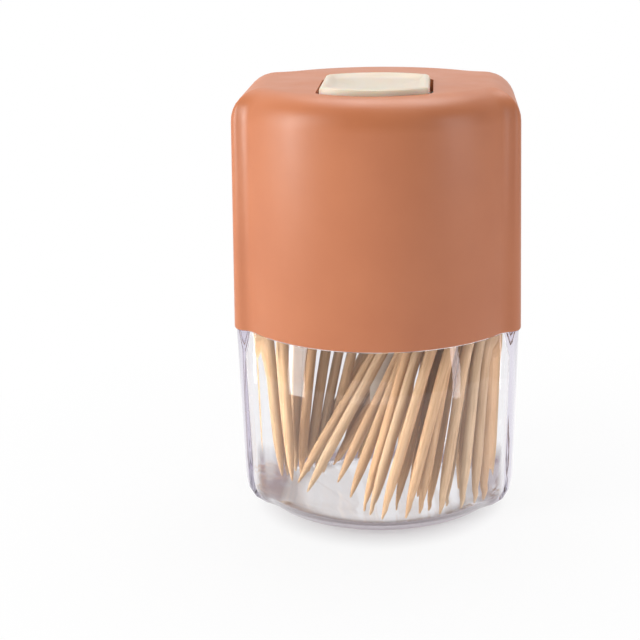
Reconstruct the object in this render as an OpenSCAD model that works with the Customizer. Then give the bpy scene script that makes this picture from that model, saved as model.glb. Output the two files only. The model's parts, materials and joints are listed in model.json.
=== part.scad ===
// Press-type toothpick dispenser. Millimetres, +Z up, front towards -Y.
// Origin: centre of the jar's foot. The lid pulls straight up off the jar;
// the button in the lid is sprung and carries the lifter that raises one pick.

/* [Plan outline] */
// Overall width, across the cap
body_w = 50.5; // [49:0.5:58]
// Overall depth, front bow to back bow
body_d = 48; // [46:0.5:49]
// How far the front bow stands out from the shoulders beside it
bow_rise = 11.6; // [9:0.1:12.5]
// How far the back bow stands out from its shoulders
back_rise = 7; // [5:0.1:9]
// Radius of the hollow flank between a bow and its shoulder
flank_r = 3.4; // [2.4:0.1:5]
// Slope of the shoulder beside the corner, in degrees
shoulder_a = 12; // [6:1:14]
// Front corner radius
corner_r = 2.3; // [2:0.1:4]
// Back corner radius
back_corner_r = 7; // [4:0.1:8]

/* [Jar] */
// Height of the shoulder that the cap stands on
shoulder_z = 36; // [32:0.5:40]
// How far the jar's mouth stands above an upright pick
mouth_room = 1.4; // [1.2:0.1:2]
// Wall of the visible lower part
jar_wall = 1.6; // [1.2:0.1:2]
// Wall of the neck inside the cap
neck_wall = 1.4; // [1.1:0.1:1.6]
// Thickness of the floor
floor_t = 2; // [1.5:0.1:2.2]
// Rounding of the outer edge of the foot
foot_r = 8; // [6:0.25:8.5]
// Rounding inside the foot, between wall and floor
inner_foot_r = 4.5; // [3:0.25:5]
// Taper of the visible part, in degrees a side
jar_taper = 1.5; // [1:0.1:2.4]
// How far the jar stands back from the cap's face at the joint
joint_step = 0.35; // [0.3:0.05:0.6]

/* [Cap] */
// From the jar's mouth up to the top of the cap
head_room = 9.8; // [9.6:0.1:10.8]
// Side wall
cap_wall = 1.8; // [1.5:0.1:2]
// Top plate
cap_top_t = 2; // [1.6:0.1:2.2]
// Rounding of the top edge
cap_edge_r = 5.4; // [4:0.1:5.8]
// Draft of the side, in degrees, narrower towards the top
cap_draft = 1.1; // [0.5:0.1:1.4]

/* [Button] */
// Width
btn_w = 18.3; // [17:0.1:19.5]
// Depth in the middle, from the front bow to the back bow
btn_d = 21.4; // [19:0.2:22.4]
// From the front of the cap back to the button
btn_setback = 6.4; // [6.2:0.1:7]
// How far its rim stands above the cap
btn_proud = 1; // [0.8:0.1:1.6]
// How far its front and back edges bow out
btn_rise = 2.4; // [1.5:0.1:2.6]
// Corner radius
btn_corner_r = 1.2; // [0.8:0.1:1.6]
// Depth of the finger dish below the rim
dish_t = 1.5; // [1.1:0.1:1.8]
// Thickness under the dish
dish_floor_t = 1.9; // [1.5:0.1:2]
// Height of the button's skirt, rim to lower edge
btn_h = 6; // [5.5:0.25:7]
// Wall of the skirt
btn_wall = 1.4; // [1.2:0.1:1.8]
// Travel when pressed
btn_travel = 13; // [11:0.5:13]

/* [Mechanism] */
// Toothpick length
pick_l = 65; // [60:0.5:65]
// Toothpick diameter
pick_d = 2; // [1.8:0.05:2.1]
// Length of a toothpick's tapered end
pick_tip_l = 9; // [7:0.5:12]
// From the front of the cap back to the first picks' lower tips
pick_setback = 8.2; // [8:0.1:8.8]
// Plate of the inner frame
frame_t = 1.5; // [1.2:0.1:1.8]
// Wall of the button's guide well
well_wall = 1.2; // [1:0.1:1.3]
// Width of the lifter
lifter_w = 4.4; // [4:0.2:5]
// Thickness of the lifter's column in front of the pick
lifter_t = 1.7; // [1.6:0.1:1.9]
// Thickness of the lifter's arm and hub
arm_t = 2; // [1.6:0.1:2.2]
// Spring wire
wire_d = 0.7; // [0.5:0.05:0.8]
// Spring radius, to the middle of the wire
spring_r = 3.4; // [3.2:0.1:3.6]
// Spring turns
spring_turns = 5.5; // [4.5:0.5:5.5]
// Radius of the post that centres the spring
post_r = 1.8; // [1.5:0.1:2.2]
// Screw shank diameter
screw_d = 1.9; // [1.7:0.1:2.1]
// Screw length under the head
screw_l = 6; // [5:0.5:6.5]
// Radius of the screw bosses
boss_r = 2.4; // [2.2:0.1:2.6]

/* [Clearances] */
// Between the cap's wall and what stands inside it
cap_fit = 0.3; // [0.25:0.05:0.4]
// Under the cap's rim
seat_gap = 0.1; // [0.05:0.05:0.2]
// Around the button where it passes the cap
btn_gap = 0.6; // [0.5:0.05:0.8]
// Around the button's skirt inside the well
slide_gap = 0.35; // [0.3:0.05:0.45]
// Beside a toothpick in its hole and groove
pick_gap = 0.3; // [0.25:0.05:0.4]
// Between one toothpick and the next
pick_space = 0.2; // [0.15:0.05:0.3]

/* [Hidden] */
$fn = 48;

terracotta = [0.85, 0.52, 0.37];
cream = [0.95, 0.92, 0.86];
bamboo = [0.85, 0.72, 0.55];
steel = [0.75, 0.76, 0.78];

// ---- plan outline -------------------------------------------------------
// A quarter runs from the middle of a bow to the side: bow, hollow flank,
// corner. The arcs are tangent, and an inset keeps their centres, so every
// wall made from two insets has the same thickness all round.
BOW_N = 14;
FLANK_N = 4;
CORNER_N = 6;

function quarter(rise, r_c, i) =
    let(s2 = sin(shoulder_a), c2 = cos(shoulder_a),
        bx = body_w / 2 - r_c * (1 - s2) + flank_r * s2,
        a1 = 2 * atan2(rise + flank_r * (1 - c2), bx),
        a_sum = bx / sin(a1),
        r1 = a_sum - flank_r,
        cy = r1 - body_d / 2,
        by = cy - a_sum * cos(a1),
        rc = max(r_c - i, 0.3),
        t2 = asin((bx - (body_w / 2 - i - rc)) / (flank_r + i + rc)),
        ex = body_w / 2 - i - rc,
        ey = by + (flank_r + i + rc) * cos(t2))
    concat(
        [for (k = [0 : BOW_N]) let(t = a1 * k / BOW_N) [(r1 - i) * sin(t), cy - (r1 - i) * cos(t)]],
        [for (k = [1 : FLANK_N]) let(t = a1 + (t2 - a1) * k / FLANK_N)
            [bx - (flank_r + i) * sin(t), by + (flank_r + i) * cos(t)]],
        [for (k = [1 : CORNER_N]) let(t = t2 + (90 - t2) * k / CORNER_N)
            [ex + rc * sin(t), ey - rc * cos(t)]]);

// Four quarters make a closed outline, counter-clockwise from above, front first
function all_round(f, b) =
    let(n = len(f))
    concat(f,
           [for (k = [n - 1 : -1 : 0]) [b[k][0], -b[k][1]]],
           [for (k = [1 : n - 1]) [-b[k][0], -b[k][1]]],
           [for (k = [n - 1 : -1 : 1]) [-f[k][0], f[k][1]]]);

function outline(i = 0) = all_round(quarter(bow_rise, corner_r, i), quarter(back_rise, back_corner_r, i));

// Closed skin over rings of equal length, from the first ring to the last
module loft(rings) {
    n = len(rings[0]);
    m = len(rings);
    polyhedron([for (r = rings) for (p = r) p],
        concat([[for (k = [0 : n - 1]) k]],
               [for (j = [0 : m - 2]) for (k = [0 : n - 1])
                   let(a = j * n + k, b = j * n + (k + 1) % n)
                   for (tri = [[a, a + n, b], [b, a + n, b + n]]) tri],
               [[for (k = [n - 1 : -1 : 0]) (m - 1) * n + k]]), convexity = 10);
}

// Skin over a stack of [inset, z] sections of the body's outline
module body_loft(sections)
    loft([for (s = sections) [for (p = outline(s[0])) [p[0], p[1], s[1]]]]);

// [inset, drop] steps round a quarter-round edge of radius r, from side to top
function edge_round(r, steps) =
    [for (k = [0 : steps]) let(t = 90 * k / steps) [r * (1 - cos(t)), r * (1 - sin(t))]];
function backwards(v) = [for (k = [len(v) - 1 : -1 : 0]) v[k]];

// ---- derived sizes --------------------------------------------------------
neck_i = cap_wall + cap_fit;
neck_in_i = neck_i + neck_wall;
function jar_i(z) = joint_step + (shoulder_z - z) * tan(jar_taper);
function cap_i(z) = (z - shoulder_z) * tan(cap_draft);

mouth_z = floor_t + pick_l + mouth_room;
cap_z = mouth_z + head_room;
btn_forward = body_d / 2 - btn_setback - btn_d / 2;
rim_z = shoulder_z + seat_gap;
joint_fall = 0.15; // the joint's faces rise this much inwards, so that water runs off outside
under_top = cap_z - cap_top_t;
mouth_i = neck_i + cap_i(mouth_z);
top_i = cap_i(cap_z - cap_edge_r);
btn_top = cap_z + btn_proud;
btn_low = btn_top - btn_h;
plate_z = btn_top - dish_t - dish_floor_t;
btn_back = btn_d / 2 - btn_forward;

// The pick stands behind the well, and its tip rises through the cap
pick_r = pick_d / 2;
well_back = btn_back + slide_gap + well_wall;
column_y = well_back + cap_fit;
exit_y = column_y + lifter_t + pick_gap;
foot_low = floor_t + 0.4;
foot_t = 1;
hub_r = spring_r + 1;
post_low = plate_z - arm_t - 4;

// The well's floor and spring cup lie below the pressed button
well_floor = btn_low - btn_travel - 0.4;
seat_z = plate_z - arm_t - btn_travel - spring_turns * wire_d - 0.35;
cup_r = spring_r + wire_d / 2 + 0.5;
flange_z = mouth_z + 0.6;
flange_top = flange_z + frame_t;
head_t = 1.2;

// ---- button and hole outline ----------------------------------------------
function bowed_quarter(w, d, rise, r) =
    let(h = w / 2 - r, b = 2 * atan2(rise, h), a = h / sin(b), big = a + r, cy = big - d / 2)
    concat([for (k = [0 : 6]) let(t = b * k / 6) [big * sin(t), cy - big * cos(t)]],
           [for (k = [1 : 5]) let(t = b + (90 - b) * k / 5)
               [h + r * sin(t), cy - a * cos(b) - r * cos(t)]]);

// Button outline grown by g, or drawn in where g is negative
function btn_outline(g) =
    let(q = bowed_quarter(btn_w + 2 * g, btn_d + 2 * g, btn_rise, max(btn_corner_r + g, 0.3)))
    all_round(q, q);

module btn_prism(g, z0, z1)
    translate([0, -btn_forward, z0]) linear_extrude(z1 - z0) polygon(btn_outline(g));

// ---- jar -------------------------------------------------------------------
// One skin: up the outside from the foot, over the mouth and down the inside
module jar() color([0.86, 0.84, 0.9, 0.45]) body_loft(concat(
    [for (e = backwards(edge_round(foot_r, 5))) [jar_i(foot_r) + e[0], e[1]]],
    [[joint_step, shoulder_z], [neck_i, shoulder_z + joint_fall], [mouth_i, mouth_z - 0.8],
     [mouth_i + 0.5, mouth_z], [mouth_i + neck_wall, mouth_z - joint_fall],
     [neck_in_i, shoulder_z - 0.4], [jar_i(shoulder_z - 5) + jar_wall, shoulder_z - 5]],
    [for (e = edge_round(inner_foot_r, 4))
        [jar_i(inner_foot_r) + jar_wall + e[0], floor_t + e[1]]]));

// ---- cap -------------------------------------------------------------------
inner_edge_r = max(cap_edge_r - cap_wall, 0.5);
boss_x = body_w / 2 - mouth_i - boss_r - 1.7;
boss_y = 8;
BOSSES = [for (sx = [-1, 1], sy = [-1, 1]) [sx * boss_x, sy * boss_y]];

module cap_shell() color(terracotta) difference() {
    union() {
        // one skin: ceiling, down the inside, across the rim and up the outside
        body_loft(concat(
            [for (e = backwards(edge_round(inner_edge_r, 4))) [cap_wall + top_i + e[0], under_top - e[1]]],
            [[cap_wall, rim_z + joint_fall], [0.35, rim_z], [0.1, rim_z + 0.12], [0, rim_z + 0.4]],
            [for (e = edge_round(cap_edge_r, 8)) [top_i + e[0], cap_z - e[1]]]));
        for (p = BOSSES) translate([p[0], p[1], flange_top])
            cylinder(h = under_top - flange_top + 0.5, r = boss_r);
    }
    btn_prism(btn_gap, under_top - 1, cap_z + 1);
    translate([0, exit_y, under_top - 1]) cylinder(h = cap_top_t + 2, r = pick_r + pick_gap);
    for (p = BOSSES) translate([p[0], p[1], flange_top - 1])
        cylinder(h = screw_l - frame_t + 1.5, d = screw_d + 0.1);
}

// ---- inner frame -------------------------------------------------------------
slot_w = lifter_w + 2 * slide_gap;
rail_t = 1.2;

module inner_frame() color(cream) difference() {
    union() {
        translate([0, 0, flange_z]) linear_extrude(frame_t) polygon(outline(mouth_i + 0.05));
        btn_prism(slide_gap + well_wall, well_floor - well_wall, under_top - 0.2);
        translate([0, -btn_forward, seat_z - well_wall])
            cylinder(h = well_floor - seat_z, r = cup_r + well_wall);
        // rails that keep the lifter's column straight
        for (s = [-1, 1])
            translate([s * (slot_w + rail_t) / 2 - rail_t / 2, well_back - 0.8, well_floor - well_wall])
                cube([rail_t, lifter_t + 1.6, flange_z - well_floor + well_wall + 0.5]);
    }
    btn_prism(slide_gap, well_floor, under_top + 1);
    translate([0, -btn_forward, seat_z]) cylinder(h = well_floor - seat_z + 1, r = cup_r);
    // slot for the lifter's arm, and the gap in the flange that its column rises through
    translate([-slot_w / 2, btn_back - 2, well_floor + 0.1])
        cube([slot_w, well_back - btn_back + 2.2, under_top - well_floor]);
    translate([-slot_w / 2, well_back - 0.05, flange_z - 1])
        cube([slot_w, exit_y + pick_r + 1.1 - well_back, frame_t + 2]);
    for (p = BOSSES) translate([p[0], p[1], flange_z - 1])
        cylinder(h = frame_t + 2, d = screw_d + 0.5);
}

module frame_screws() color(steel) for (p = BOSSES) translate([p[0], p[1], flange_z]) {
    difference() {
        translate([0, 0, -head_t]) cylinder(h = head_t, d = 2 * screw_d);
        for (a = [0, 90]) rotate(a)
            translate([-screw_d * 0.6, -0.25, -head_t - 0.5]) cube([screw_d * 1.2, 0.5, 1]);
    }
    translate([0, 0, -0.2]) cylinder(h = screw_l - 0.8, d = screw_d);
    translate([0, 0, screw_l - 1]) cylinder(h = 0.8, d1 = screw_d, d2 = 0.5);
}

// ---- button ------------------------------------------------------------------
// The top runs from the rounded rim down into the finger dish
rim_drop = 0.85;
function btn_ring(g, z) = [for (p = btn_outline(g)) [p[0], p[1] - btn_forward, z]];
function dish_ring(k) = [for (p = btn_outline(-2.2))
    [p[0] * k, p[1] * k - btn_forward, btn_top - dish_t + (dish_t - rim_drop) * k * k]];

module button() color(cream) difference() {
    union() {
        difference() {
            loft(concat(
                [btn_ring(0, btn_low), btn_ring(0, btn_top - 0.6), btn_ring(-0.18, btn_top - 0.18),
                 btn_ring(-0.6, btn_top), btn_ring(-0.9, btn_top), btn_ring(-1.25, btn_top - 0.16),
                 btn_ring(-1.6, btn_top - 0.55), btn_ring(-2.2, btn_top - rim_drop)],
                [for (k = [0.8, 0.6, 0.4, 0.2]) dish_ring(k)]));
            btn_prism(-btn_wall, btn_low - 1, plate_z);
        }
        translate([0, -btn_forward, post_low]) cylinder(h = plate_z - post_low + 0.3, r = post_r);
    }
    // window in the back of the skirt for the lifter's arm
    translate([-slot_w / 2, btn_back - btn_wall - 1, btn_low - 1])
        cube([slot_w, btn_wall + 3, plate_z - btn_low + 1]);
}

// ---- lifter ------------------------------------------------------------------
lifter_low = foot_low + btn_travel;

module lifter() color(cream) difference() {
    union() {
        translate([0, -btn_forward, plate_z - arm_t]) cylinder(h = arm_t, r = hub_r);
        translate([-lifter_w / 2, -btn_forward, plate_z - arm_t])
            cube([lifter_w, column_y + btn_forward + lifter_t, arm_t]);
        translate([-lifter_w / 2, column_y, lifter_low])
            cube([lifter_w, lifter_t + pick_gap, plate_z - lifter_low]);
        // foot with the seat that the pick's lower tip stands in
        translate([-lifter_w / 2, column_y, lifter_low])
            cube([lifter_w, exit_y + pick_r - column_y, foot_t + 0.6]);
    }
    translate([0, -btn_forward, plate_z - arm_t - 1]) cylinder(h = arm_t + 2, r = post_r + 0.1);
    translate([0, exit_y, lifter_low + foot_t + 0.6]) cylinder(h = plate_z, r = pick_r + pick_gap);
    translate([0, exit_y, lifter_low + foot_t]) cylinder(h = 0.7, r1 = 0.15, r2 = 0.75);
}

// ---- return spring -------------------------------------------------------------
// One unbroken wire, its pitch eased to a closed turn at each end
spring_low = seat_z + wire_d / 2 + 0.05;
spring_high = plate_z - arm_t - wire_d / 2 - 0.05;
WIRE_RINGS = 12;
WIRE_SIDES = 6;
end_turn = 0.13;
end_pitch = 0.42;
function ease(t) =
    t < end_turn ? end_pitch * t
    : t > 1 - end_turn ? 1 - end_pitch * (1 - t)
    : end_pitch * end_turn + (t - end_turn) * (1 - 2 * end_pitch * end_turn) / (1 - 2 * end_turn);

module return_spring() color(steel) translate([0, -btn_forward, 0])
    let(n = ceil(spring_turns * WIRE_RINGS))
    loft([for (k = [0 : n])
        let(t = k / n, a = 360 * spring_turns * t, z = spring_low + (spring_high - spring_low) * ease(t))
        [for (s = [0 : WIRE_SIDES - 1])
            let(b = 360 * s / WIRE_SIDES, r = spring_r + wire_d / 2 * cos(b))
            [r * cos(a), r * sin(a), z + wire_d / 2 * sin(b)]]]);

// ---- toothpicks ------------------------------------------------------------------
// One pick with its lower tip at p and its upper tip at x = x_top
lay = 7;
point_l = pick_tip_l * 0.35;
full_r = pick_r * 0.6;
module pick(p, x_top, back) translate(p) rotate([-back, 0, 0]) rotate([0, asin((x_top - p[0]) / pick_l), 0]) {
    cylinder(h = point_l, r1 = 0.12, r2 = full_r, $fn = 16);
    translate([0, 0, point_l]) cylinder(h = pick_tip_l - point_l, r1 = full_r, r2 = pick_r, $fn = 16);
    translate([0, 0, pick_tip_l]) cylinder(h = pick_l - 2 * pick_tip_l, r = pick_r, $fn = 16);
    translate([0, 0, pick_l - pick_tip_l])
        cylinder(h = pick_tip_l - point_l, r1 = pick_r, r2 = full_r, $fn = 16);
    translate([0, 0, pick_l - point_l]) cylinder(h = point_l, r1 = full_r, r2 = 0.12, $fn = 16);
}

// A layer is a fan of picks in one plane. The lower tips are spread over the floor, and
// the upper ends crowd to one side of the button's well, as many as fit there. Tips are
// given as shares of side_x, the furthest that a pick can stand from the middle.
pitch = pick_d + pick_space;
layer_gap = pitch / cos(lay);
front_y = pick_setback - body_d / 2;
side_x = body_w / 2 - mouth_i - neck_wall - pick_r - pick_space;
well_x = btn_w / 2 + slide_gap + well_wall + pick_r + pick_space;

// Layer k, with lower tips at xs; the tops stand step apart and the last is at x_end
module fan(k, xs, x_end = side_x, step = pitch) color(bamboo)
    for (j = [max(0, len(xs) - floor((x_end - well_x) / step) - 1) : len(xs) - 1])
        pick([xs[j] * side_x, front_y + k * layer_gap, floor_t + 0.2 + 0.3 * (j % 2)],
             x_end - (len(xs) - 1 - j) * step, lay);

module toothpicks_1() fan(0, [0.04, 0.25], side_x * 0.985);
module toothpicks_2() fan(1, [-0.07, 0.37, 0.55]);
module toothpicks_3() fan(2, [-0.13, 0.16, 0.45, 0.74], step = pitch - 0.05);
module toothpicks_4() fan(3, [-0.03, 0.28, 0.61, 0.86], step = pitch - 0.05);
module toothpicks_5() fan(4, [-0.27, 0.35, 0.94]);
module toothpicks_6() fan(5, [-0.68, 0.18, 0.6], step = pitch + 0.3);
module toothpicks_7() fan(6, [-0.11, 0.3, 0.73, 0.95], step = pitch - 0.05);
module toothpicks_8() fan(7, [-0.79, -0.41, 0.6], step = pitch + 0.5);
module toothpicks_9() fan(8, [0.23, 0.5, 0.73, 0.93], step = pitch - 0.05);

// Behind the lifter the layers stand nearly upright, as many as the depth holds, and the
// picks lean steeply to the right. Row j has the j-th pick of every layer.
back_lay = 0.5;
back_y = exit_y + 2 * pick_r + 2 * pick_gap;
back_layers = 1 + floor((body_d / 2 - mouth_i - neck_wall - pick_d - back_rise / 3 - back_y) / pitch);
BACK_TIPS = [[-0.82, -0.66, -0.49], [-0.76, -0.61, -0.45], [-0.59, -0.43, -0.26]];
BACK_ENDS = [0.98, 0.88, 0.72];

module back_row(j) color(bamboo) for (k = [0 : back_layers - 1])
    pick([BACK_TIPS[k % 3][j] * side_x, back_y + k * pitch, floor_t + 0.2 + 0.3 * (j % 2)],
         BACK_ENDS[k % 3] * side_x - (2 - j) * (pitch + 0.5), back_lay);

module toothpicks_back_1() back_row(0);
module toothpicks_back_2() back_row(1);
module toothpicks_back_3() back_row(2);

// A few stand upright in the back left corner
corner_y = body_d / 2 - back_rise - back_corner_r;
module corner_picks(y, xs) color(bamboo) for (x = xs)
    pick([x * side_x, y, floor_t + 0.2], (x + 0.02) * side_x, back_lay);

module toothpicks_left_1() corner_picks(corner_y - pitch, [-0.95, -0.8]);
module toothpicks_left_2() corner_picks(corner_y, [-0.945]);

jar();
cap_shell();
inner_frame();
frame_screws();
button();
lifter();
return_spring();
toothpicks_1();
toothpicks_2();
toothpicks_3();
toothpicks_4();
toothpicks_5();
toothpicks_6();
toothpicks_7();
toothpicks_8();
toothpicks_9();
toothpicks_back_1();
toothpicks_back_2();
toothpicks_back_3();
toothpicks_left_1();
toothpicks_left_2();
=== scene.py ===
# %% [markdown]
# # A press-type toothpick dispenser
# The real thing is a small table dispenser, 80 mm high. A clear moulded jar holds bamboo toothpicks,
# and a deep terracotta cap with a cream press button covers its upper half. The solid parts come from
# the CAD model, so this lesson dresses them: it smooths the moulded shells, makes its own toothpicks,
# adds a few more of them, gives everything a finish, and sets up the light and the camera.

import json
import math

import bpy
import bmesh
import numpy as np
from mathutils import Matrix, Vector

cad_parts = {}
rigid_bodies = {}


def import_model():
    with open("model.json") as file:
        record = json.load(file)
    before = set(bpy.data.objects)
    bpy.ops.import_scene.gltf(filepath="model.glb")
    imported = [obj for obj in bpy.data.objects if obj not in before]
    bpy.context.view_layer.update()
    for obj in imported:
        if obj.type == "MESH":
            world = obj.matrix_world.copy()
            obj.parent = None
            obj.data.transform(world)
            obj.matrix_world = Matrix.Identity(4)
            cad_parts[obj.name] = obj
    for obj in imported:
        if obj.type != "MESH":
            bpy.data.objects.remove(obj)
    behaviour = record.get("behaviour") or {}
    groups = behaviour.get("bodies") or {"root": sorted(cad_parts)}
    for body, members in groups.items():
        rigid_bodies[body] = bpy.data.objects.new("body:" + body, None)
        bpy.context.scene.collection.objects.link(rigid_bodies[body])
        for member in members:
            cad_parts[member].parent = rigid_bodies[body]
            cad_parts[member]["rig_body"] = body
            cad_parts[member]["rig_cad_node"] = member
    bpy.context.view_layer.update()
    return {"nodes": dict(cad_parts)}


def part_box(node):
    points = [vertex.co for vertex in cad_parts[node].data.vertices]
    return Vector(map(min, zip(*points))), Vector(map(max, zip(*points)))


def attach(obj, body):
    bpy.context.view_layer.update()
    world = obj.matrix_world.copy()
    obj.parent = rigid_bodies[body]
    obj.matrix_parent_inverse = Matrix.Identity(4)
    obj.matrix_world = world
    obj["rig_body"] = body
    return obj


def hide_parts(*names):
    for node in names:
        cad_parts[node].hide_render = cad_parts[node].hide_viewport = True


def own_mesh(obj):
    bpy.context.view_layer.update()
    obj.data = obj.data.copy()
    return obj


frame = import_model()
bpy.ops.object.select_all(action="DESELECT")

# %% [markdown]
# ## The camera
# The photograph was taken from a little above the cap, close enough to see the perspective. The place,
# the tilt and the focal length were worked out from the outline of the cap and the jar in the picture,
# which is 640 pixels wide and high. The object stands right of the middle there, so the lens is shifted
# a little and the camera itself still points at the object.

# %% Camera
PICTURE = 640
FILM_WIDTH = 36
camera_place = Vector((0.01079, -0.24475, 0.11288))
camera_tilt, camera_turn, camera_roll = 16.884, -2.676, -0.523
focal_px = 1400.5
middle_px = (376.0, 298.0)

camera_data = bpy.data.cameras.new("camera")
camera = bpy.data.objects.new("camera", camera_data)
bpy.context.scene.collection.objects.link(camera)
bpy.context.scene.camera = camera
camera_data.sensor_fit = "HORIZONTAL"
camera_data.sensor_width = FILM_WIDTH
camera_data.lens = focal_px * FILM_WIDTH / PICTURE
camera_data.shift_x = (PICTURE / 2 - middle_px[0]) / PICTURE
camera_data.shift_y = (middle_px[1] - PICTURE / 2) / PICTURE
camera_data.clip_start, camera_data.clip_end = 0.01, 20
turned = Matrix.Rotation(math.radians(-camera_turn), 4, "Z")
tilted = Matrix.Rotation(math.radians(90 - camera_tilt), 4, "X")
rolled = Matrix.Rotation(math.radians(camera_roll), 4, "Z")
camera.matrix_world = Matrix.Translation(camera_place) @ turned @ tilted @ rolled
print("camera at", [round(x, 4) for x in camera.location], "lens", round(camera_data.lens, 1), "mm")

# %% [markdown]
# ## Node helpers
# Every finish, the floor and the surrounding white are built from shader nodes. Adding and linking them by
# hand takes many lines, so the steps that come back again and again are small helpers.

# %% Node helpers


def node(tree, kind, **settings):
    """Adds a node and sets its properties and, by name, its sockets."""
    made = tree.nodes.new(kind)
    for name, value in settings.items():
        if hasattr(made, name):
            setattr(made, name, value)
        else:
            made.inputs[name.replace("_", " ")].default_value = value
    return made


def between(tree, value, low, high, start=0.3, end=0.7, blend="LINEAR"):
    """Turns a value, from start to end, into a number from low to high."""
    made = node(tree, "ShaderNodeMapRange", interpolation_type=blend)
    made.inputs["From Min"].default_value, made.inputs["From Max"].default_value = start, end
    made.inputs["To Min"].default_value, made.inputs["To Max"].default_value = low, high
    tree.links.new(value, made.inputs["Value"])
    return made.outputs["Result"]


def colours(tree, value, *stops):
    """A colour for each value, from (position, colour) pairs."""
    ramp = node(tree, "ShaderNodeValToRGB")
    while len(ramp.color_ramp.elements) < len(stops):
        ramp.color_ramp.elements.new(0.5)
    for element, (position, colour) in zip(ramp.color_ramp.elements, stops):
        element.position, element.color = position, colour
    tree.links.new(value, ramp.inputs["Fac"])
    return ramp.outputs["Color"]


def mixed(tree, share, first, second):
    """A shader that is first where share is 0 and second where it is 1."""
    made = node(tree, "ShaderNodeMixShader")
    tree.links.new(share, made.inputs["Fac"])
    tree.links.new(first, made.inputs[1])
    tree.links.new(second, made.inputs[2])
    return made.outputs[0]


def seen_directly(tree):
    """1 where the camera sees a surface, also through the clear jar, and 1 for the rays of gloss."""
    path = node(tree, "ShaderNodeLightPath")
    either = node(tree, "ShaderNodeMath", operation="MAXIMUM")
    tree.links.new(path.outputs["Is Camera Ray"], either.inputs[0])
    tree.links.new(path.outputs["Is Transmission Ray"], either.inputs[1])
    return either.outputs[0], path.outputs["Is Glossy Ray"]


print("node helpers ready")

# %% [markdown]
# ## Light and floor
# A product photograph like this one has a white table, a large soft lamp at the left, a weaker one at the
# right and a white backdrop, while the side of the room behind the camera stays dim. The white is given to
# what the camera sees and to what shows through the clear jar. Gloss sees the backdrop bright and the
# camera's side dim, and the light that falls on the object stays at a plain level.

# %% White surrounding
ROOM_LIGHT = 0.25
GLOSS_DIM, GLOSS_BRIGHT = 0.05, 0.9
DIM_FROM, BRIGHT_FROM = -0.2, 0.7

world = bpy.data.worlds.new("white_room")
bpy.context.scene.world = world
world.use_nodes = True
room = world.node_tree
room.nodes.clear()
way = node(room, "ShaderNodeTexCoord")
split = node(room, "ShaderNodeSeparateXYZ")
room.links.new(way.outputs["Generated"], split.inputs[0])
backdrop = between(
    room, split.outputs["Y"], GLOSS_DIM, GLOSS_BRIGHT, DIM_FROM, BRIGHT_FROM, "SMOOTHSTEP"
)
lights_up = node(room, "ShaderNodeBackground", Strength=ROOM_LIGHT)
shows_white = node(room, "ShaderNodeBackground", Strength=1.0)
in_gloss = node(room, "ShaderNodeBackground")
room.links.new(backdrop, in_gloss.inputs["Strength"])
for background in (lights_up, shows_white, in_gloss):
    background.inputs["Color"].default_value = (1, 1, 1, 1)
directly, by_gloss = seen_directly(room)
plain = mixed(room, directly, lights_up.outputs[0], shows_white.outputs[0])
room_out = node(room, "ShaderNodeOutputWorld")
room.links.new(mixed(room, by_gloss, plain, in_gloss.outputs[0]), room_out.inputs["Surface"])
print("room light", ROOM_LIGHT, "gloss", GLOSS_DIM, "to", GLOSS_BRIGHT)

# %% [markdown]
# The table glows white to the camera, with a share of plain white paper near the object that takes its
# soft shadow. The share is small under the clear jar, which shows the table through its floor. It is largest
# round the foot's edge and fades out with distance, so the picture stays white at its edges.

# %% Floor
FLOOR_RADIUS, FLOOR_SIDES, FLOOR_DROP = 3.0, 96, 0.00006
PAPER = (0.86, 0.86, 0.87, 1)
SHADOW_REACH = 0.1
SHADOW_STOPS = ((0.0, 0.15), (0.0142, 0.15), (0.0165, 0.8), (0.0185, 0.5), (0.024, 0.1), (0.1, 0.0))

bpy.ops.mesh.primitive_circle_add(
    vertices=FLOOR_SIDES, radius=FLOOR_RADIUS, fill_type="NGON", location=(0, 0, -FLOOR_DROP)
)
floor = bpy.context.active_object
floor.name = "floor"
bpy.ops.object.transform_apply(location=True, rotation=True, scale=True)
table_white = bpy.data.materials.new("table_white")
table_white.use_nodes = True
tree = table_white.node_tree
tree.nodes.clear()
paper = node(tree, "ShaderNodeBsdfDiffuse", Color=PAPER)
glow = node(tree, "ShaderNodeEmission", Strength=1.0)
floor_place = node(tree, "ShaderNodeTexCoord")
from_middle = node(tree, "ShaderNodeVectorMath", operation="LENGTH")
tree.links.new(floor_place.outputs["Object"], from_middle.inputs[0])
reached = between(tree, from_middle.outputs["Value"], 0, 1, 0, SHADOW_REACH)
greys = [(distance / SHADOW_REACH, (share, share, share, 1)) for distance, share in SHADOW_STOPS]
shadowed = mixed(tree, colours(tree, reached, *greys), glow.outputs[0], paper.outputs[0])
directly, by_gloss = seen_directly(tree)
in_light = mixed(tree, directly, paper.outputs[0], shadowed)
table_out = node(tree, "ShaderNodeOutputMaterial")
tree.links.new(mixed(tree, by_gloss, in_light, shadowed), table_out.inputs["Surface"])
floor.data.materials.append(table_white)
print("floor radius", FLOOR_RADIUS, "m")

# %% [markdown]
# Four soft boxes light the object: the large key at the left, a narrow fill at the right, one above and
# behind for the cap's top, and a weak one low in front, which reaches the toothpicks under the cap.

# %% Lamps
OBJECT_MIDDLE = Vector((0, 0, 0.045))


def soft_lamp(name, place, width, height, power, colour):
    """A soft box: an area lamp that faces the object's middle."""
    data = bpy.data.lights.new(name, "AREA")
    data.shape = "RECTANGLE"
    data.size, data.size_y = width, height
    data.energy = power
    data.color = colour
    lamp = bpy.data.objects.new(name, data)
    bpy.context.scene.collection.objects.link(lamp)
    lamp.location = place
    away = Vector(place) - OBJECT_MIDDLE
    lamp.rotation_mode = "QUATERNION"
    lamp.rotation_quaternion = away.to_track_quat("Z", "Y")
    return lamp


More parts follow.
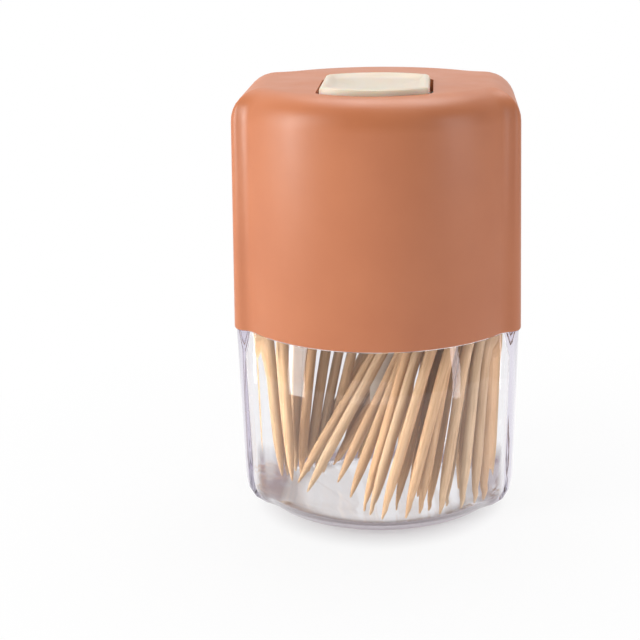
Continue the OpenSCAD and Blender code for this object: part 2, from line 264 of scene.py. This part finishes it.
soft_lamp("key_left", (-0.38, -0.17, 0.17), 0.12, 0.36, 1.5, (1, 0.985, 0.96))
soft_lamp("fill_right", (0.34, -0.18, 0.14), 0.05, 0.30, 0.34, (0.98, 0.93, 0.98))
soft_lamp("top_back", (0.02, 0.12, 0.42), 0.3, 0.2, 0.9, (1, 1, 1))
soft_lamp("low_front", (-0.05, -0.5, 0.03), 0.3, 0.08, 0.1, (1, 0.97, 0.94))
print("four soft lamps")

# %% [markdown]
# ## Helpers for finishes
# A moulded or cut surface is never one flat colour. Each finish below starts from a Principled shader
# and gets a little colour change, an uneven gloss and a fine bump, all read from the piece's own
# coordinates so that the pattern stays on the piece when it moves.

# %% Finish helpers


def srgb(red, green, blue):
    """A colour as it is written in a picture, 0 to 255, as the shader's linear colour."""
    shares = [c / 255 for c in (red, green, blue)]
    return (*[c / 12.92 if c <= 0.04045 else ((c + 0.055) / 1.055) ** 2.4 for c in shares], 1)


def new_finish(name):
    """A new material, its node tree and its Principled shader."""
    material = bpy.data.materials.new(name)
    material.use_nodes = True
    shader = next(n for n in material.node_tree.nodes if n.type == "BSDF_PRINCIPLED")
    return material, material.node_tree, shader


def object_place(tree, stretch=(1, 1, 1)):
    """The point on the piece, stretched for patterns that run one way."""
    coordinates = node(tree, "ShaderNodeTexCoord")
    mapping = node(tree, "ShaderNodeMapping", Scale=stretch)
    tree.links.new(coordinates.outputs["Object"], mapping.inputs["Vector"])
    return mapping.outputs["Vector"]


def cloud(tree, place, scale, detail=3.0, roughness=0.5):
    """A noise pattern's value, from 0 to 1."""
    made = node(tree, "ShaderNodeTexNoise", Scale=scale, Detail=detail, Roughness=roughness)
    tree.links.new(place, made.inputs["Vector"])
    return made.outputs["Fac"]


def rough_skin(tree, shader, height, strength, depth):
    """Bumps the surface by a pattern's value."""
    bump = node(tree, "ShaderNodeBump", Strength=strength, Distance=depth)
    tree.links.new(height, bump.inputs["Height"])
    tree.links.new(bump.outputs["Normal"], shader.inputs["Normal"])


print("finish helpers ready")

# %% [markdown]
# ## Plastics
# The cap is a satin terracotta moulding, the button a warm cream one, and the frame and the lifter inside
# are off-white. All are plastics with a skin from the mould, so they share one recipe with their own colour
# and gloss. The pale cream lets some light in, which comes out again warmer, so it gets subsurface light.

# %% Plastic finishes
MOTTLE_SCALE, FLOW_SCALE, SPARK_SCALE = 90, 160, 5200
SPARK_STRENGTH, SPARK_DEPTH = 0.12, 0.00002
LIGHT_DEPTH, LIGHT_SPREAD = 0.003, (1.0, 0.6, 0.35)


def moulded(name, colour, darker, gloss, shine=0.5, lets_in=0.0):
    """Satin moulded plastic: a faint mottle, uneven gloss and a spark-eroded skin."""
    material, tree, shader = new_finish(name)
    shader.inputs["Specular IOR Level"].default_value = shine
    if lets_in:
        shader.inputs["Subsurface Weight"].default_value = lets_in
        shader.inputs["Subsurface Scale"].default_value = LIGHT_DEPTH
        shader.inputs["Subsurface Radius"].default_value = LIGHT_SPREAD
    here = object_place(tree)
    mottle = cloud(tree, here, MOTTLE_SCALE, 4)
    tree.links.new(colours(tree, mottle, (0.3, darker), (0.7, colour)), shader.inputs["Base Color"])
    flow = cloud(tree, object_place(tree, (1, 1, 0.25)), FLOW_SCALE, 3)
    tree.links.new(between(tree, flow, gloss - 0.04, gloss + 0.05), shader.inputs["Roughness"])
    rough_skin(tree, shader, cloud(tree, here, SPARK_SCALE, 2), SPARK_STRENGTH, SPARK_DEPTH)
    return material


terracotta = moulded("terracotta_plastic", srgb(206, 125, 81), srgb(200, 119, 76), 0.42, 0.7)
cream = moulded("cream_plastic", srgb(229, 216, 198), srgb(224, 210, 191), 0.36, lets_in=0.5)
frame_plastic = moulded("frame_plastic", srgb(236, 228, 214), srgb(230, 221, 206), 0.45)
print("plastics:", terracotta.name, cream.name, frame_plastic.name)

# %% [markdown]
# The jar is clear plastic with a faint lavender cast, which only shows where the wall is thick or seen
# along its length. So the shader itself is nearly colourless and the tint comes from inside the material,
# by absorption. Only low on the outside of the foot is the shader dark: that band is painted shade, which
# stands in for the dark surroundings the real foot's curve shows by refraction; the jar's points say where.
#
# Lamps have to light the toothpicks through the wall, so their rays pass it straight. So do rays that
# have been thrown to and fro in the wall, because they would run out of bounces and leave black edges where
# the real wall carries the light of the backdrop round to the eye.

# %% Clear plastic
# The second colour is painted shade for the dark band low on the foot, not a colour of the plastic.
CLEAR, FOOT_PAINTED_SHADE = (0.985, 0.985, 0.99, 1), srgb(96, 70, 82)
CLEAR_IOR = 1.49
TINT_DENSITY = 24.0
MOST_BOUNCES = 3

clear_plastic, tree, shader = new_finish("clear_plastic")
foot_painted_shade = node(tree, "ShaderNodeAttribute", attribute_name="foot_painted_shade")
# Painted shade: the foot's dark band goes into the base colour where the jar's points ask for it.
painted_shade_colour = colours(tree, foot_painted_shade.outputs["Fac"], (0.0, CLEAR), (1.0, FOOT_PAINTED_SHADE))
tree.links.new(painted_shade_colour, shader.inputs["Base Color"])
shader.inputs["Transmission Weight"].default_value = 1.0
shader.inputs["IOR"].default_value = CLEAR_IOR
jar_gloss = cloud(tree, object_place(tree), 120, 2)
tree.links.new(between(tree, jar_gloss, 0.0, 0.035), shader.inputs["Roughness"])
rough_skin(tree, shader, cloud(tree, object_place(tree, (1, 1, 0.4)), 75, 2), 0.06, 0.0004)
absorb = node(tree, "ShaderNodeVolumeAbsorption", Density=TINT_DENSITY, Color=srgb(200, 190, 214))
path = node(tree, "ShaderNodeLightPath")
trapped = node(tree, "ShaderNodeMath", operation="GREATER_THAN")
trapped.inputs[1].default_value = MOST_BOUNCES + 0.5
tree.links.new(path.outputs["Ray Depth"], trapped.inputs[0])
let_out = node(tree, "ShaderNodeBsdfTransparent", Color=(0.98, 0.97, 0.98, 1))
open_way = node(tree, "ShaderNodeBsdfTransparent", Color=(0.98, 0.98, 0.985, 1))
seen = mixed(tree, trapped.outputs[0], shader.outputs[0], let_out.outputs[0])
wall = mixed(tree, path.outputs["Is Shadow Ray"], seen, open_way.outputs[0])
jar_out = next(n for n in tree.nodes if n.type == "OUTPUT_MATERIAL")
tree.links.new(wall, jar_out.inputs["Surface"])
tree.links.new(absorb.outputs[0], jar_out.inputs["Volume"])
print("clear plastic, IOR", CLEAR_IOR)

# %% [markdown]
# ## Steel
# The screws and the spring inside the cap are plain steel with fine drawing marks.

# %% Steel finishes


def drawn_steel(name, colour, gloss):
    """Plain steel whose drawing marks are a little darker and duller."""
    material, tree, shader = new_finish(name)
    shader.inputs["Metallic"].default_value = 1.0
    marks = cloud(tree, object_place(tree, (1, 1, 6)), 900, 3)
    darker = [c * 0.9 for c in colour]
    steel = colours(tree, marks, (0.3, srgb(*darker)), (0.7, srgb(*colour)))
    tree.links.new(steel, shader.inputs["Base Color"])
    tree.links.new(between(tree, marks, gloss, gloss + 0.12), shader.inputs["Roughness"])
    rough_skin(tree, shader, marks, 0.15, 0.00003)
    return material


screw_steel = drawn_steel("screw_steel", (190, 192, 196), 0.24)
spring_steel = drawn_steel("spring_steel", (205, 206, 210), 0.18)
print("steels:", screw_steel.name, spring_steel.name)

# %% [markdown]
# ## Bamboo
# A toothpick is cut from bamboo, so its grain runs along it in thin streaks, and no two are the same
# shade. Each toothpick below stores its own place along and across, wood_place, and its own shade,
# wood_shade, on its points. This finish reads both, which keeps the grain along the wood however the
# pick leans.

# %% Bamboo finish
bamboo, tree, shader = new_finish("bamboo")
wood_place = node(tree, "ShaderNodeAttribute", attribute_name="wood_place")
wood_shade = node(tree, "ShaderNodeAttribute", attribute_name="wood_shade")
along = node(tree, "ShaderNodeMapping", Scale=(1, 1, 0.06))
tree.links.new(wood_place.outputs["Vector"], along.inputs["Vector"])
streaks = cloud(tree, along.outputs[0], 2600, 4, 0.6)
pores = cloud(tree, along.outputs[0], 7000, 2, 0.5)
wood = colours(
    tree,
    streaks,
    (0.28, srgb(204, 169, 128)),
    (0.5, srgb(226, 196, 158)),
    (0.75, srgb(239, 215, 182)),
)
shades = colours(
    tree,
    wood_shade.outputs["Fac"],
    (0.0, srgb(228, 205, 176)),
    (0.45, srgb(255, 252, 246)),
    (1.0, srgb(252, 226, 196)),
)
toned = node(tree, "ShaderNodeMix", data_type="RGBA", blend_type="MULTIPLY")
toned.inputs[0].default_value = 1.0
tree.links.new(wood, toned.inputs[6])
tree.links.new(shades, toned.inputs[7])
tree.links.new(toned.outputs[2], shader.inputs["Base Color"])
tree.links.new(between(tree, streaks, 0.55, 0.7), shader.inputs["Roughness"])
rough_skin(tree, shader, pores, 0.35, 0.00008)
print("bamboo finish reads wood_place and wood_shade")

# %% [markdown]
# ## The moulded shells
# The CAD solids of the cap, the jar and the button are exact, but their skins are made of small flat
# triangles. A mould has no such facets. So each one is copied, its doubled points are merged, and it is
# shaded smooth wherever two faces meet at a small angle, which keeps the real edges crisp.

# %% Smooth copies
MERGE_DISTANCE = 0.000002


def smooth_copy(cad_name, new_name, material, body, angle=32):
    """A merged, smooth-shaded copy of a CAD node that is shown in its place."""
    source = frame["nodes"][cad_name]
    piece = source.copy()
    piece.data = source.data.copy()
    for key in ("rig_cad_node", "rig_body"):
        if key in piece:
            del piece[key]
    piece.parent = None
    piece.name = new_name
    bpy.context.scene.collection.objects.link(piece)
    bpy.ops.object.select_all(action="DESELECT")
    piece.select_set(True)
    bpy.context.view_layer.objects.active = piece
    if piece.data.has_custom_normals:
        bpy.ops.mesh.customdata_custom_splitnormals_clear()
    bpy.ops.object.mode_set(mode="EDIT")
    bpy.ops.mesh.select_all(action="SELECT")
    bpy.ops.mesh.remove_doubles(threshold=MERGE_DISTANCE)
    bpy.ops.object.mode_set(mode="OBJECT")
    bpy.ops.object.shade_smooth_by_angle(angle=math.radians(angle))
    piece.data.materials.clear()
    piece.data.materials.append(material)
    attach(piece, body)
    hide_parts(cad_name)
    print(new_name, len(piece.data.vertices), "points,", len(piece.data.polygons), "faces")
    return piece


cap = smooth_copy("cap_shell", "cap", terracotta, "lid")
clear_jar = smooth_copy("jar", "clear_jar", clear_plastic, "jar")
press_button = smooth_copy("button", "press_button", cream, "button", 28)

# %% [markdown]
# The dark band low on the outside of the jar's foot is painted shade, and the jar's points have to say
# where. The outside of the rounded foot looks down and its inside looks up, so a point's normal tells them
# apart. The flat underside stays clear, because the table is seen through it.

# %% The painted shade on the jar's foot
# Heights on the foot and shares of the painted shade there.
PAINTED_SHADE_HEIGHTS, PAINTED_SHADE_SHARES = (0.0002, 0.0004, 0.0016, 0.0033, 0.0055), (0, 1, 1, 0.6, 0)
LOOKS_DOWN = -0.02

painted_shade_share = [
    float(np.interp(v.co.z, PAINTED_SHADE_HEIGHTS, PAINTED_SHADE_SHARES)) if v.normal.z < LOOKS_DOWN else 0.0
    for v in clear_jar.data.vertices
]
foot_shade = clear_jar.data.attributes.new("foot_painted_shade", "FLOAT", "POINT")
foot_shade.data.foreach_set("value", np.array(painted_shade_share, np.float32))
print("foot band on", sum(share > 0 for share in painted_shade_share), "points")

# %% [markdown]
# The return spring stands in its cup on the frame and closes as the button goes down. A rigid copy would
# cut through the button's underside; the copy here is given a mesh of its own.

coil = smooth_copy("return_spring", "closing_spring", spring_steel, "lid", 60)
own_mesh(coil)

# %% [markdown]
# ## Inner pieces
# What is inside the cap keeps its CAD mesh and only gets a finish.

# %% Finishes for the inner pieces
for cad_name, material in (
    ("inner_frame", frame_plastic),
    ("lifter", frame_plastic),
    ("frame_screws", screw_steel),
):
    for each in frame["nodes"][cad_name].material_slots:
        each.material = material
    print(cad_name, "gets", material.name)

# %% [markdown]
# ## Toothpicks
# A real toothpick is turned to two long points, and it is never quite straight or quite round. One is
# modelled upright: a small ring is extruded again and again along the pick, and each new ring is scaled
# to the profile of the point, the shank and the other point. It could be one cone, cylinder and cone, but
# the slightly full points come out better this way.

# %% One toothpick
SHANK, LENGTH, TIP = 0.001, 0.065, 0.009
SIDES, SHANK_RINGS = 12, 7
POINT = ((0.0, 0.14), (0.06, 0.25), (0.2, 0.45), (0.42, 0.68), (0.7, 0.88), (1.0, 1.0))


def pick_profile():
    """(distance along, radius) pairs: a full point, a long shank, a full point."""
    low = [(TIP * d, SHANK * r) for d, r in POINT]
    step = (LENGTH - 2 * TIP) / (SHANK_RINGS + 1)
    shank = [(TIP + step * ring, SHANK) for ring in range(1, SHANK_RINGS + 1)]
    high = [(LENGTH - d, r) for d, r in reversed(low)]
    return low + shank + high


def model_pick():
    """One upright toothpick, its lower point at the origin."""
    profile = pick_profile()
    bpy.ops.object.select_all(action="DESELECT")
    bpy.ops.mesh.primitive_circle_add(vertices=SIDES, radius=profile[0][1], fill_type="NGON")
    pick = bpy.context.active_object
    bpy.ops.object.mode_set(mode="EDIT")
    bpy.ops.mesh.select_mode(type="FACE")
    bpy.ops.mesh.select_all(action="SELECT")
    for (z0, r0), (z1, r1) in zip(profile, profile[1:]):
        bpy.ops.mesh.extrude_region_move(TRANSFORM_OT_translate={"value": (0, 0, z1 - z0)})
        bpy.ops.transform.resize(value=(r1 / r0, r1 / r0, 1))
    bpy.ops.mesh.select_all(action="SELECT")
    bpy.ops.mesh.normals_make_consistent(inside=False)
    bpy.ops.object.mode_set(mode="OBJECT")
    return pick


pattern_pick = model_pick()
pattern_points = np.array([v.co for v in pattern_pick.data.vertices])
pick_height = pattern_points[:, 2].max()
print("pattern pick:", len(pattern_points), "points,", round(pick_height * 1000, 1), "mm long")

# %% [markdown]
# Each CAD node holds a layer of a few toothpicks. Its loose solids are measured to find where every pick
# stands and how it leans. Copies of the modelled pick will go to the same places.

# %% Where the toothpicks stand
END_REACH = 0.0001


def loose_solids(cad_name):
    """The two end points of every toothpick in a CAD node, lower end first."""
    mesh = bmesh.new()
    mesh.from_mesh(frame["nodes"][cad_name].data)
    bmesh.ops.remove_doubles(mesh, verts=mesh.verts, dist=MERGE_DISTANCE)
    left, ends = set(mesh.verts), []
    while left:
        todo, solid = [left.pop()], []
        while todo:
            point = todo.pop()
            solid.append(point.co.copy())
            for edge in point.link_edges:
                other = edge.other_vert(point)
                if other in left:
                    left.remove(other)
                    todo.append(other)
        points = np.array(solid)
        centre = points.mean(axis=0)
        axis = np.linalg.svd(points - centre, full_matrices=False)[2][0]
        axis = axis if axis[2] > 0 else -axis
        reach = (points - centre) @ axis
        low = points[reach < reach.min() + END_REACH].mean(axis=0)
        high = points[reach > reach.max() - END_REACH].mean(axis=0)
        ends.append((Vector(low), Vector(high)))
    mesh.free()
    return sorted(ends, key=lambda pair: (round(pair[0].x, 5), round(pair[0].z, 5)))


PICK_NODES = sorted(name for name in frame["nodes"] if name.startswith("toothpicks"))
standing = {name: loose_solids(name) for name in PICK_NODES}
print("toothpicks:", sum(len(ends) for ends in standing.values()), "in", len(PICK_NODES), "layers")

# %% [markdown]
# No two toothpicks are the same, so each copy gets its own small bow, turn, thickness and shade. They come
# from a seeded generator, which gives the same ones on every run. The copies of one layer are joined, and
# they stand for that layer's node.

# %% Place the toothpicks
chance = np.random.default_rng(7)
BOW = 0.00006
THINNEST, FLATTEST = 0.95, 0.93
GRAIN_ASIDE, GRAIN_ALONG = 0.01, 0.003


def placed_pick(low, high, number):
    """A copy of the pattern pick from low to high, with its own bow, turn and shade."""
    piece = pattern_pick.copy()
    piece.data = pattern_pick.data.copy()
    bpy.context.scene.collection.objects.link(piece)
    stand = (high - low).to_track_quat("Z", "Y").to_matrix()
    spin = chance.uniform(0, 2 * math.pi)
    bow_way = chance.uniform(0, 2 * math.pi)
    shade = chance.uniform(0, 1)
    fat = chance.uniform(THINNEST, 1.0)
    oval = chance.uniform(FLATTEST, 1.0)
    stretch = (high - low).length / LENGTH
    place = np.zeros((len(pattern_points), 3), np.float32)
    for index, (x, y, z) in enumerate(pattern_points):
        share = z / LENGTH
        bow = BOW * math.sin(math.pi * share) ** 2
        turned_x = x * math.cos(spin) - y * math.sin(spin) * oval
        turned_y = x * math.sin(spin) + y * math.cos(spin) * oval
        upright = Vector((
            turned_x * fat + bow * math.cos(bow_way),
            turned_y * fat + bow * math.sin(bow_way),
            z * stretch,
        ))
        piece.data.vertices[index].co = low + stand @ upright
        place[index] = (x + GRAIN_ASIDE * number, y, z + GRAIN_ALONG * number)
    kept = piece.data.attributes.new("wood_place", "FLOAT_VECTOR", "POINT")
    kept.data.foreach_set("vector", place.ravel())
    tone = piece.data.attributes.new("wood_shade", "FLOAT", "POINT")
    tone.data.foreach_set("value", np.full(len(pattern_points), shade, np.float32))
    return piece


def join_picks(made, name):
    """Joins toothpicks into one smooth-shaded piece that rides on the jar."""
    bpy.ops.object.select_all(action="DESELECT")
    for piece in made:
        piece.select_set(True)
    bpy.context.view_layer.objects.active = made[0]
    bpy.ops.object.join()
    layer = bpy.context.active_object
    layer.name = name
    bpy.ops.object.shade_smooth_by_angle(angle=math.radians(50))
    layer.data.materials.clear()
    layer.data.materials.append(bamboo)
    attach(layer, "jar")
    return layer


count = 0
for cad_name in PICK_NODES:
    made = []
    for low, high in standing[cad_name]:
        made.append(placed_pick(low, high, count))
        count += 1
    layer = join_picks(made, cad_name.replace("toothpicks", "bamboo_picks"))
    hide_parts(cad_name)
print(count, "toothpicks placed")

# %% [markdown]
# The real jar is fuller than the CAD model's. At the left, behind the leaning layers, more toothpicks fan
# out from the wall, each one leaning a little more to the right than its neighbour, and a few more stand
# behind. They stand on the jar's floor like the others, in the room between the CAD layers and clear of
# the lifter. Each is given by its foot and its top in millimetres, seen from above.

# %% More toothpicks behind
jar_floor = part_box("toothpicks_1")[0].z
WALL_PICKS = [((-19.2, 2.8), (-19.7, -8.8)), ((-17.0, 0.6), (-17.3, -5.0))]
FAN_PICKS = 4
FAN_START, FAN_STEP = -18.2, 1.3
FAN_ROWS = (3.4, 5.9)
FAN_LEAN, FAN_LEAN_STEP = 0.76, 2.77
UPRIGHT_PICKS, FAN_BACKWARDS = 2, 5.5
LAST_PICKS = [
    ((-13.0, 7.0), (-1.0, 12.8)),
    ((-11.4, 5.6), (2.6, 13.4)),
    ((-16.0, 12.0), (-12.0, 10.0)),
    ((3.0, 8.0), (10.0, 8.0)),
    ((4.0, 17.0), (6.0, 18.0)),
]


def fan_pick(number):
    """The foot and the top of one toothpick of the fan."""
    x = FAN_START + FAN_STEP * number
    y = FAN_ROWS[number % 2]
    top_y = y if number < UPRIGHT_PICKS else y + FAN_BACKWARDS
    return (x, y), (x + FAN_LEAN + FAN_LEAN_STEP * number, top_y)


def stands_on_floor(foot, top):
    """Both ends of a toothpick, in metres, from its foot and top in millimetres."""
    across = Vector((top[0] - foot[0], top[1] - foot[1])) / 1000
    rise = math.sqrt(LENGTH**2 - across.length_squared)
    low = Vector((foot[0] / 1000, foot[1] / 1000, jar_floor))
    return low, low + Vector((*across, rise))


behind = []
for foot, top in WALL_PICKS + [fan_pick(number) for number in range(FAN_PICKS)] + LAST_PICKS:
    behind.append(placed_pick(*stands_on_floor(foot, top), count))
    count += 1
join_picks(behind, "bamboo_picks_behind")
bpy.data.objects.remove(pattern_pick)
print(len(behind), "more toothpicks,", count, "in all")

# %% [markdown]
# ## Finish
# The view settings are the plain ones, so a colour renders about as it is written.

# %% View settings
bpy.context.scene.view_settings.view_transform = "Standard"
